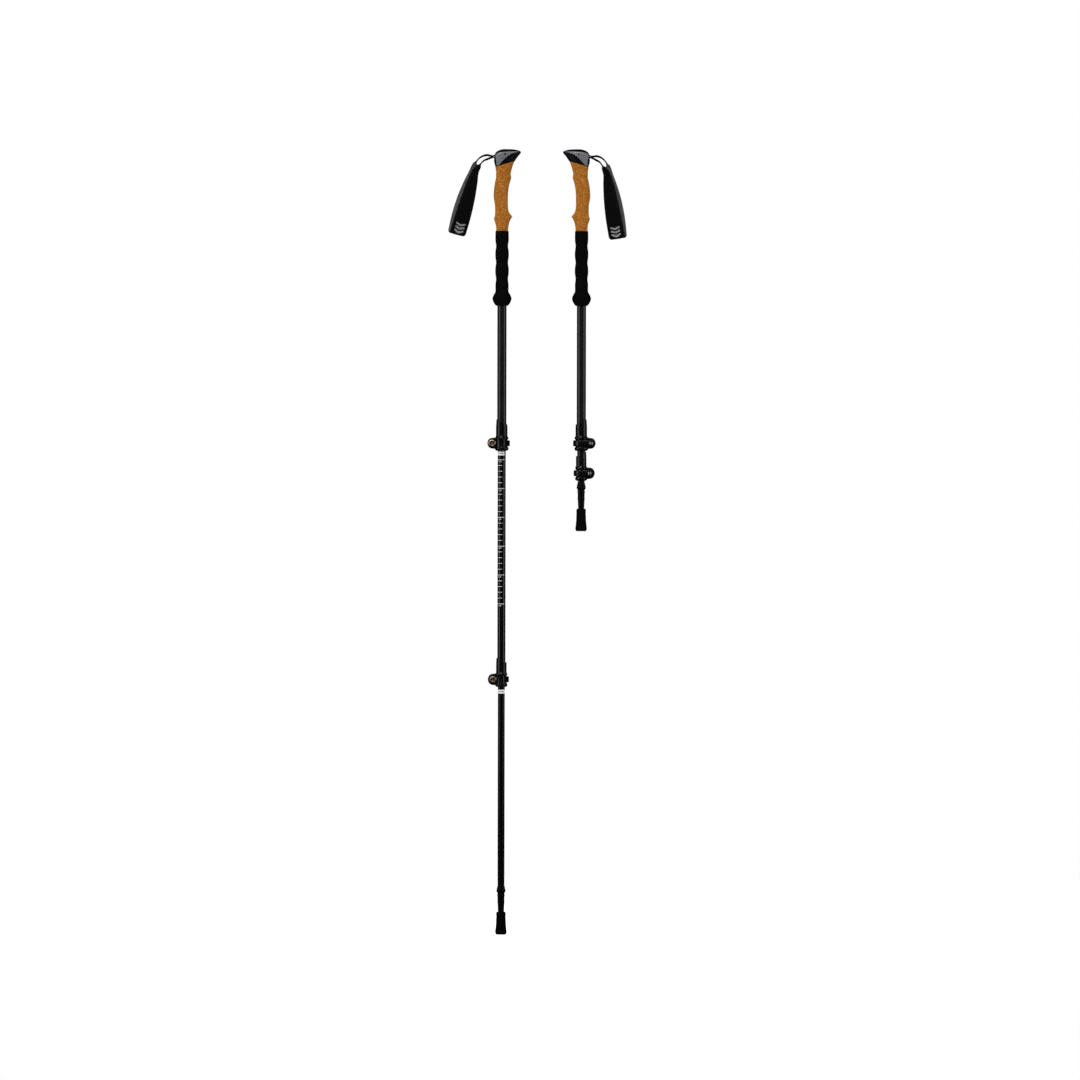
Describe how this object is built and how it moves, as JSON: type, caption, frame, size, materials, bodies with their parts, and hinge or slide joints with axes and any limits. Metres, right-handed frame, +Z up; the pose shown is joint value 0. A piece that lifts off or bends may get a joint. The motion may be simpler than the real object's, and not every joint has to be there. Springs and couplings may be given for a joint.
{
  "type": "pair of trekking poles",
  "caption": "Pair of three-section telescoping trekking poles with lever clamps, cork and foam grips, padded wrist straps and rubber boots; one extended, one collapsed.",
  "frame": {"origin": "centre of the flat underside of the extended (left) pole's rubber boot", "axes": "+Z up along both poles towards the grips, +X from the extended pole to the collapsed one, +Y away from the viewer; the extended pole's beak points along +X and the collapsed pole's along -X"},
  "size_m": [0.3103, 0.033, 1.3629],
  "materials": {
    "head_plastic": "black moulded plastic, satin to gloss",
    "cheek_plastic": "grey moulded plastic, satin",
    "cork": "compressed cork, fine speckle, lightly sanded",
    "foam": "closed-cell foam, matte black",
    "strap_fabric": "woven polyester webbing and padded band, matte black with grey lining",
    "upper_tube_finish": "dark anthracite anodised aluminium, satin",
    "lower_tubes_finish": "black anodised aluminium, satin",
    "guide_plastic": "natural moulded plastic",
    "clamp_plastic": "glossy black glass-filled nylon",
    "steel": "plain turned steel",
    "brass": "knurled brass nut, polished face",
    "ferrule_plastic": "black moulded plastic",
    "rubber": "black moulded rubber",
    "carbide": "sintered carbide, dark grey"
  },
  "bodies": {
    "left_upper": {"left_head": "head_plastic", "left_head_cheek_near": "cheek_plastic", "left_head_cheek_far": "cheek_plastic", "left_head_screw": "steel", "left_strap_pin": "steel", "left_cork_grip": "cork", "left_foam_grip": "foam", "left_upper_tube": "upper_tube_finish", "left_upper_clamp_collar": "clamp_plastic", "left_upper_clamp_washer": "steel"},
    "left_wedge": {"left_strap_wedge": "head_plastic"},
    "left_strap": {"left_strap_webbing": "strap_fabric", "left_strap_pad": "strap_fabric"},
    "left_upper_bolt": {"left_upper_clamp_bolt": "steel", "left_upper_clamp_pivot": "steel"},
    "left_upper_lever": {"left_upper_clamp_lever": "clamp_plastic"},
    "left_upper_nut": {"left_upper_clamp_nut": "brass"},
    "left_mid": {"left_mid_tube": "lower_tubes_finish", "left_mid_guide": "guide_plastic", "left_lower_clamp_collar": "clamp_plastic", "left_lower_clamp_washer": "steel"},
    "left_lower_bolt": {"left_lower_clamp_bolt": "steel", "left_lower_clamp_pivot": "steel"},
    "left_lower_lever": {"left_lower_clamp_lever": "clamp_plastic"},
    "left_lower_nut": {"left_lower_clamp_nut": "brass"},
    "left_lower": {"left_lower_tube": "lower_tubes_finish", "left_lower_guide": "guide_plastic", "left_ferrule": "ferrule_plastic", "left_carbide_tip": "carbide"},
    "left_boot": {"left_rubber_boot": "rubber"},
    "right_upper": {"right_head": "head_plastic", "right_head_cheek_near": "cheek_plastic", "right_head_cheek_far": "cheek_plastic", "right_head_screw": "steel", "right_strap_pin": "steel", "right_cork_grip": "cork", "right_foam_grip": "foam", "right_upper_tube": "upper_tube_finish", "right_upper_clamp_collar": "clamp_plastic", "right_upper_clamp_washer": "steel"},
    "right_wedge": {"right_strap_wedge": "head_plastic"},
    "right_strap": {"right_strap_webbing": "strap_fabric", "right_strap_pad": "strap_fabric"},
    "right_upper_bolt": {"right_upper_clamp_bolt": "steel", "right_upper_clamp_pivot": "steel"},
    "right_upper_lever": {"right_upper_clamp_lever": "clamp_plastic"},
    "right_upper_nut": {"right_upper_clamp_nut": "brass"},
    "right_mid": {"right_mid_tube": "lower_tubes_finish", "right_mid_guide": "guide_plastic", "right_lower_clamp_collar": "clamp_plastic", "right_lower_clamp_washer": "steel"},
    "right_lower_bolt": {"right_lower_clamp_bolt": "steel", "right_lower_clamp_pivot": "steel"},
    "right_lower_lever": {"right_lower_clamp_lever": "clamp_plastic"},
    "right_lower_nut": {"right_lower_clamp_nut": "brass"},
    "right_lower": {"right_lower_tube": "lower_tubes_finish", "right_lower_guide": "guide_plastic", "right_ferrule": "ferrule_plastic", "right_carbide_tip": "carbide"},
    "right_boot": {"right_rubber_boot": "rubber"}
  },
  "joints": [
    {"name": "left_wedge_slide", "type": "slide", "parent": "left_upper", "child": "left_wedge", "axis": [-1, 0, 0], "range_m": [0, 0.006]},
    {"name": "left_strap_swing", "type": "hinge", "parent": "left_upper", "child": "left_strap", "pos_m": [-0.012, 0, 1.3507], "axis": [0, 1, 0], "range_deg": [-15, 75]},
    {"name": "left_upper_bolt_slide", "type": "slide", "parent": "left_upper", "child": "left_upper_bolt", "axis": [0, -1, 0], "range_m": [0, 0.0009]},
    {"name": "left_upper_lever_hinge", "type": "hinge", "parent": "left_upper_bolt", "child": "left_upper_lever", "pos_m": [-0.017, 0.0109, 0.8526], "axis": [0, 0, 1], "range_deg": [0, 150]},
    {"name": "left_upper_nut_spin", "type": "hinge", "parent": "left_upper_bolt", "child": "left_upper_nut", "pos_m": [-0.017, 0, 0.8526], "axis": [0, 1, 0], "continuous": true},
    {"name": "left_lower_bolt_slide", "type": "slide", "parent": "left_mid", "child": "left_lower_bolt", "axis": [0, -1, 0], "range_m": [0, 0.0009]},
    {"name": "left_lower_lever_hinge", "type": "hinge", "parent": "left_lower_bolt", "child": "left_lower_lever", "pos_m": [-0.0146, 0.0109, 0.4427], "axis": [0, 0, 1], "range_deg": [0, 150]},
    {"name": "left_lower_nut_spin", "type": "hinge", "parent": "left_lower_bolt", "child": "left_lower_nut", "pos_m": [-0.0146, 0, 0.4427], "axis": [0, 1, 0], "continuous": true},
    {"name": "left_mid_slide", "type": "slide", "parent": "left_upper", "child": "left_mid", "axis": [0, 0, 1], "range_m": [0, 0.358]},
    {"name": "left_lower_slide", "type": "slide", "parent": "left_mid", "child": "left_lower", "axis": [0, 0, 1], "range_m": [0, 0.342]},
    {"name": "left_boot_slide", "type": "slide", "parent": "left_lower", "child": "left_boot", "axis": [0, 0, -1], "range_m": [0, 0.045]},
    {"name": "pair_spacing", "type": "slide", "parent": "left_upper", "child": "right_upper", "axis": [1, 0, 0], "range_m": [-0.05, 0.15]},
    {"name": "right_wedge_slide", "type": "slide", "parent": "right_upper", "child": "right_wedge", "axis": [1, 0, 0], "range_m": [0, 0.006]},
    {"name": "right_strap_swing", "type": "hinge", "parent": "right_upper", "child": "right_strap", "pos_m": [0.15, 0, 1.3507], "axis": [0, -1, 0], "range_deg": [-8.5, 80]},
    {"name": "right_upper_bolt_slide", "type": "slide", "parent": "right_upper", "child": "right_upper_bolt", "axis": [0, 1, 0], "range_m": [0, 0.0009]},
    {"name": "right_upper_lever_hinge", "type": "hinge", "parent": "right_upper_bolt", "child": "right_upper_lever", "pos_m": [0.155, -0.0109, 0.8526], "axis": [0, 0, 1], "range_deg": [0, 150]},
    {"name": "right_upper_nut_spin", "type": "hinge", "parent": "right_upper_bolt", "child": "right_upper_nut", "pos_m": [0.155, 0, 0.8526], "axis": [0, 1, 0], "continuous": true},
    {"name": "right_lower_bolt_slide", "type": "slide", "parent": "right_mid", "child": "right_lower_bolt", "axis": [0, 1, 0], "range_m": [0, 0.0009]},
    {"name": "right_lower_lever_hinge", "type": "hinge", "parent": "right_lower_bolt", "child": "right_lower_lever", "pos_m": [0.1526, -0.0109, 0.8007], "axis": [0, 0, 1], "range_deg": [0, 150]},
    {"name": "right_lower_nut_spin", "type": "hinge", "parent": "right_lower_bolt", "child": "right_lower_nut", "pos_m": [0.1526, 0, 0.8007], "axis": [0, 1, 0], "continuous": true},
    {"name": "right_mid_slide", "type": "slide", "parent": "right_upper", "child": "right_mid", "axis": [0, 0, 1], "range_m": [-0.358, 0]},
    {"name": "right_lower_slide", "type": "slide", "parent": "right_mid", "child": "right_lower", "axis": [0, 0, 1], "range_m": [-0.342, 0]},
    {"name": "right_boot_slide", "type": "slide", "parent": "right_lower", "child": "right_boot", "axis": [0, 0, -1], "range_m": [0, 0.045]}
  ],
  "couplings": [
    {"joint": "left_upper_bolt_slide", "follows": "left_upper_lever_hinge", "m_per_rad": 0.0003},
    {"joint": "left_lower_bolt_slide", "follows": "left_lower_lever_hinge", "m_per_rad": 0.0003},
    {"joint": "right_upper_bolt_slide", "follows": "right_upper_lever_hinge", "m_per_rad": 0.0003},
    {"joint": "right_lower_bolt_slide", "follows": "right_lower_lever_hinge", "m_per_rad": 0.0003}
  ]
}
